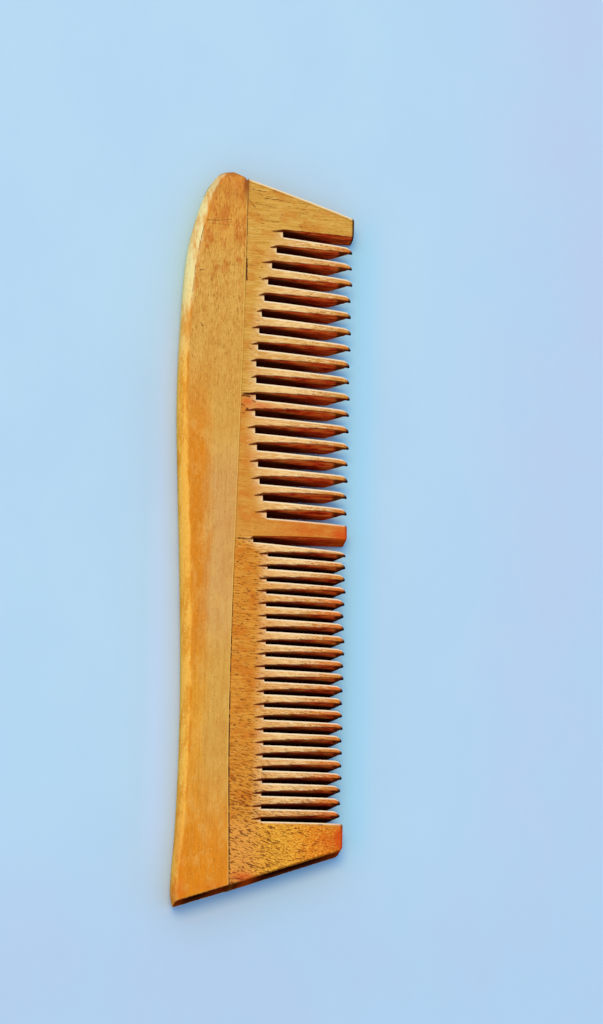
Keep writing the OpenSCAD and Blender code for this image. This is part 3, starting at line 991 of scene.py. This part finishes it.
def plate_wood(wood, marks):
    """Short-grain wood with its grain along the teeth, open pores, and walls in the gaps darkened with
    painted shade.
    """
    n = Nodes(wood.name)
    true_place = n.position()
    place = n.vector("ADD", true_place, (0, 0, wood.shift)).outputs[0]
    x, y, z = n.parts(true_place)[:3]
    streaks = n.noise(n.stretched(place, (6.0, 0.4, 4.0)), 5.0, 0.65)
    clouds = n.noise(n.stretched(place, (4.5, 3.0, 5.0)), 3.0, 0.55)
    dashes = n.noise(n.stretched(place, (1.2, 0.26, 1.0), math.radians(-6)), 2.0, 0.5)
    slanted = n.noise(n.stretched(place, (1.4, 0.38, 1.0), math.radians(-18)), 2.0, 0.5)
    mottle = n.noise(n.stretched(place, (0.5, 0.42, 0.6)), 2.0, 0.5, 1.2)
    lines = n.noise(n.stretched(place, (1.7, 0.17, 1.0)), 4.0, 0.7)
    colour = n.mix(n.ramp(streaks, 0.38, 0.62), wood.main, wood.second)
    colour = n.mix(n.ramp(clouds, 0.46, 0.66, 0.0, 0.7), colour, wood.deep)
    colour = n.mix(n.ramp(lines, 0.55, 0.68, 0.0, 0.45), colour, wood.pale)
    colour = n.mix(n.ramp(lines, 0.44, 0.34, 0.0, 0.45), colour, wood.dark)
    # The teeth: paler over their left and middle, orange towards the tips, each with its own tone
    tooth = n.attribute("tooth")
    tint = n.attribute("tint")
    pale = n.product(tooth, n.ramp(x, 18, 8), n.ramp(tint, -0.6, 0.8))
    colour = n.mix(n.product(pale, 0.8), colour, linear(248, 202, 136))
    warm = n.product(tooth, n.ramp(x, 11, 19), n.ramp(tint, 1.3, 0.0), n.ramp(y, 3, -3, 0.45, 0.95))
    colour = n.mix(warm, colour, linear(226, 108, 34))
    specks = n.noise(n.stretched(place, (0.5, 0.3, 0.6)), 2.0, 0.5)
    colour = n.mix(n.product(tooth, n.ramp(specks, 0.57, 0.63), n.ramp(x, 4, 13), 0.75), colour,
                   linear(150, 70, 18))
    colour = n.mix(n.product(tooth, n.ramp(lines, 0.48, 0.36), 0.75), colour, linear(196, 104, 36))
    colour = n.mix(n.product(tooth, n.ramp(lines, 0.52, 0.62), n.ramp(x, 20, 14), 0.8), colour,
                   linear(255, 218, 168))
    # The low end: golden in the middle of the guard, orange to its right, and mottled all over
    low = n.ramp(y, -46, -68)
    guard = n.product(n.ramp(y, -71, -73), n.math("SUBTRACT", 1.0, tooth, clamp=True))
    colour = n.mix(n.product(guard, 0.75), colour, linear(236, 156, 68))
    colour = n.mix(n.product(guard, n.ramp(x, -2, 4), 0.75), colour, linear(234, 158, 34))
    colour = n.mix(n.product(guard, n.ramp(x, 6, 15), 0.85), colour, linear(232, 124, 10))
    worms = n.product(guard, n.ramp(x, -3, 5, 0.3, 1.0))
    colour = n.mix(n.product(worms, n.ramp(mottle, 0.52, 0.6), 0.8), colour, linear(250, 184, 70))
    colour = n.mix(n.product(worms, n.ramp(mottle, 0.46, 0.38), 0.65), colour, linear(160, 72, 0))
    # Open pores, short and level in most of the plate, long and slanted at the low end
    fewer = n.math("MULTIPLY", tooth, -0.05)
    level_pores = n.ramp(n.math("ADD", dashes, fewer), wood.pores, wood.pores + 0.05)
    not_right = n.ramp(n.product(guard, n.ramp(x, 2, 10)), 1.0, 0.0)
    slant_pores = n.product(n.ramp(slanted, 0.57, 0.63), low, not_right)
    hole = n.math("MAXIMUM", level_pores, slant_pores)
    hole = n.product(hole, n.ramp(tooth, 1.0, 0.3, 0.6, 1.0))
    colour = n.mix(n.product(hole, 0.85), colour, linear(112, 42, 2))
    # Grooves along the gaps: a painted shade line above, a painted highlight brink below; the same edge
    # attribute gives the needles and the guards' ends their painted shade and highlights
    edge = n.attribute("edge")
    colour = n.mix(n.product(edge, 0.95), colour, linear(92, 8, 0))
    colour = n.mix(n.math("MULTIPLY", edge, -0.85, clamp=True), colour, linear(255, 230, 194))
    colour = walls(n, colour, place)
    # Painted shade on the ends of the teeth and guards
    colour = n.mix(n.product(n.attribute("end"), 0.92), colour, linear(34, 16, 18))
    # The glue line: faint in the middle of the coarse set, and dark in dashes at the low end
    dash = n.noise(n.stretched(place, (2.0, 1.1, 3.0)), 3.0, 0.6)
    strength = n.math("MAXIMUM", n.ramp(y, 5, -30, 0.15, 1.0), n.ramp(y, 58, 70, 0.15, 0.7))
    line = n.ramp(n.attribute("seam"), 0.014, n.ramp(y, -30, -50, 0.03, 0.045), 1.0, 0.0)
    colour = n.mix(n.product(line, strength, n.ramp(dash, 0.38, 0.55, 0.3, 1.0)), colour, GLUE_DARK)
    colour = n.mix(n.product(n.attribute("dark"), 0.8), colour, STAIN_DARK)
    ragged = n.ramp(mottle, 0.36, 0.56, 0.7, 1.0)
    colour = n.mix(n.product(n.attribute("red"), ragged, 0.85), colour, STAIN_RED)
    mark = n.product(n.strokes(true_place, marks), n.ramp(z, 4.0, 5.0), 0.85)
    colour = n.mix(mark, colour, linear(74, 14, 4))
    height = n.math("SUBTRACT", n.math("MULTIPLY", streaks, 0.7), n.math("MAXIMUM", hole, mark))
    return n.finish(colour, n.ramp(streaks, 0.3, 0.7, 0.45, 0.62), height, 0.5, gloss(n))


# The damage round the joint's gap, held by both coarse plates
DAMAGE = (
    (-5.3, 35.2, -2.5, 35.35, 0.5, 1.0),
    (-5.7, 34.65, -3.9, 34.6, 0.32, 1.0),
    (-3.2, 33.6, -2.5, 33.3, 0.3, 0.6),
    (-4.6, 31.5, -4.3, 31.45, 0.3, 1.0),
    (-5.9, 32.5, -5.1, 32.2, 0.3, 0.7),
    (-5.6, 30.3, -5.0, 30.35, 0.22, 0.7),
)
JOINT = (-6.0, -1.6, -2.4, -1.62, 0.24, 0.9)
UPPER_MARKS = (
    *DAMAGE,
    (-1.4, 86.2, 1.8, 86.05, 0.16, 0.8),
    (1.8, 86.05, 4.7, 85.6, 0.14, 0.6),
    (-3.6, 84.6, 1.5, 84.0, 0.14, 0.6),
    (-4.6, 88.3, -1.2, 87.9, 0.16, 0.7),
    (-5.5, 70.0, -5.45, 64.6, 0.32, 1.0),
    (-5.4, 85.5, -3.6, 83.4, 0.16, 0.5),
    (-2.5, 80.6, 2.5, 80.2, 0.14, 0.5),
    (6.0, 83.4, 9.0, 82.9, 0.14, 0.4),
)
FINE_MARKS = (
    JOINT,
    (-5.3, -67.2, -2.9, -67.6, 0.2, 0.7),
    (-3.4, -75.0, -1.9, -75.5, 0.36, 0.8),
    (3.0, -76.2, 4.6, -76.9, 0.3, 0.8),
    (-1.8, -82.3, 2.2, -83.2, 0.2, 0.8),
    (-5.5, -86.2, -2.6, -86.0, 0.3, 0.6),
)


# Camera, light and floor

AIM = Vector((10.347, 8.466, 0)) * MM
CAMERA_DISTANCE = 1.6
TILT_LEFT = math.radians(9)
TURN = math.radians(1.258)
SENSOR = 36
PIXELS_HIGH = 1024
FOCAL_PIXELS = 6635.2
PAPER_HALF = 3.0
PAPER_Z = -0.02 * MM
SKY = (0.46, 0.74, 1.0, 1.0)
SKY_STRENGTH = 0.97


def from_page(vector):
    """A direction given on the page of the photo, with Y up the page, in the comb's frame."""
    return Matrix.Rotation(TURN, 3, "Z") @ Vector(vector)


def look_along(thing, to_thing, up):
    """Places a camera or light at AIM + to_thing, turned to look back at AIM."""
    z = to_thing.normalized()
    x = up.cross(z).normalized()
    turned = Matrix((x, z.cross(x), z)).transposed()
    thing.matrix_world = Matrix.Translation(AIM + to_thing) @ turned.to_4x4()


def add_camera():
    data = bpy.data.cameras.new("camera")
    data.sensor_width = SENSOR
    data.sensor_fit = "AUTO"
    data.lens = FOCAL_PIXELS * SENSOR / PIXELS_HIGH
    data.clip_end = 20
    camera = bpy.data.objects.new("camera", data)
    bpy.context.scene.collection.objects.link(camera)
    out = from_page((-math.tan(TILT_LEFT), -math.tan(TILT_DOWN), 1)).normalized()
    look_along(camera, out * CAMERA_DISTANCE, from_page((0, 1, 0)))
    bpy.context.scene.camera = camera


def add_light(name, direction, distance, size, power, colour):
    data = bpy.data.lights.new(name, "AREA")
    data.shape = "DISK"
    data.size = size
    data.energy = power
    data.color = colour
    light = bpy.data.objects.new(name, data)
    bpy.context.scene.collection.objects.link(light)
    look_along(light, from_page(direction).normalized() * distance, from_page((0, 1, 0.01)))


def add_floor():
    """Pale blue paper, a little more lavender away from the comb."""
    n = Nodes("paper")
    place = n.position()
    x, y = n.parts(place)[:2]
    broad = n.noise(n.stretched(place, (30.0, 45.0, 40.0)), 4.0, 0.6)
    colour = n.mix(n.ramp(x, 30, 80), linear(184, 214, 241), linear(187, 205, 236))
    colour = n.mix(n.ramp(y, -60, -110), colour, linear(184, 205, 236))
    colour = n.mix(n.ramp(broad, 0.35, 0.65, 0.0, 0.6), colour, linear(180, 210, 240))
    # A painted shadow: a bluer band beside the tips; and painted light: a paler lavender band beside the back
    beside = n.product(n.ramp(x, 17, 21), n.ramp(x, 31, 24), n.ramp(y, 92, 74), n.ramp(y, -84, -70))
    colour = n.mix(n.product(beside, 0.7), colour, linear(160, 218, 255))
    beside = n.product(n.ramp(x, -28, -23), n.ramp(x, -10, -19), n.ramp(y, 70, 40), n.ramp(y, -94, -70))
    colour = n.mix(n.product(beside, 0.7), colour, linear(194, 216, 255))
    tooth = n.noise(n.stretched(place, (0.8, 0.8, 0.8)), 3.0, 0.6)
    material = n.finish(colour, 0.85, tooth, 0.15)
    mesh = bpy.data.meshes.new("paper")
    corners = [(PAPER_HALF * x, PAPER_HALF * y, 0) for x, y in ((-1, -1), (1, -1), (1, 1), (-1, 1))]
    mesh.from_pydata(corners, [], [(0, 1, 2, 3)])
    mesh.materials.append(material)
    floor = bpy.data.objects.new("paper", mesh)
    bpy.context.scene.collection.objects.link(floor)
    floor.location.z = PAPER_Z


def add_world():
    world = bpy.data.worlds.new("room")
    world.use_nodes = True
    background = world.node_tree.nodes["Background"]
    background.inputs["Color"].default_value = SKY
    background.inputs["Strength"].default_value = SKY_STRENGTH
    bpy.context.scene.world = world


add_camera()
add_floor()
add_world()
add_light("window", direction=(-0.2, 0.26, 1.15), distance=1.6, size=0.9, power=15, colour=(1.0, 0.6, 0.1))
bpy.context.scene.view_settings.view_transform = "Standard"

make_spine(spine_wood())
make_plate(
    "upper_coarse_comb", "upper_coarse_plate",
    plate_wood(Wood("upper_plate_wood", main=(203, 142, 50), second=(222, 168, 80), deep=(203, 124, 38),
                    pale=(240, 194, 112), dark=(164, 98, 24), pores=0.66, shift=10), UPPER_MARKS),
    COARSE[:11], top_end, None,
    [Tip(0.0, square=True, corners=(0.7, 0.5))] + [coarse_tip() for _ in range(10)],
)
make_plate(
    "lower_coarse_comb", "lower_coarse_plate",
    plate_wood(Wood("lower_plate_wood", main=(206, 133, 44), second=(218, 152, 64), deep=(208, 116, 30),
                    pale=(238, 180, 100), dark=(160, 84, 18), pores=0.68, shift=20), (*DAMAGE, JOINT)),
    COARSE[10:] + [LONG], None, None,
    [coarse_tip() for _ in range(7)] + [Tip(0.25, square=True, corners=(0.5, 0.4))],
)
make_plate(
    "fine_comb", "fine_plate",
    plate_wood(Wood("fine_plate_wood", main=(206, 123, 28), second=(225, 151, 56), deep=(206, 110, 18),
                    pale=(250, 182, 96), dark=(150, 66, 4), pores=0.6, shift=30), FINE_MARKS),
    [LONG] + FINE, None, low_end,
    [fine_tip() for _ in range(22)] + [Tip(-GUARD_PROUD, square=True, corners=(0.6, 1.0))],
)
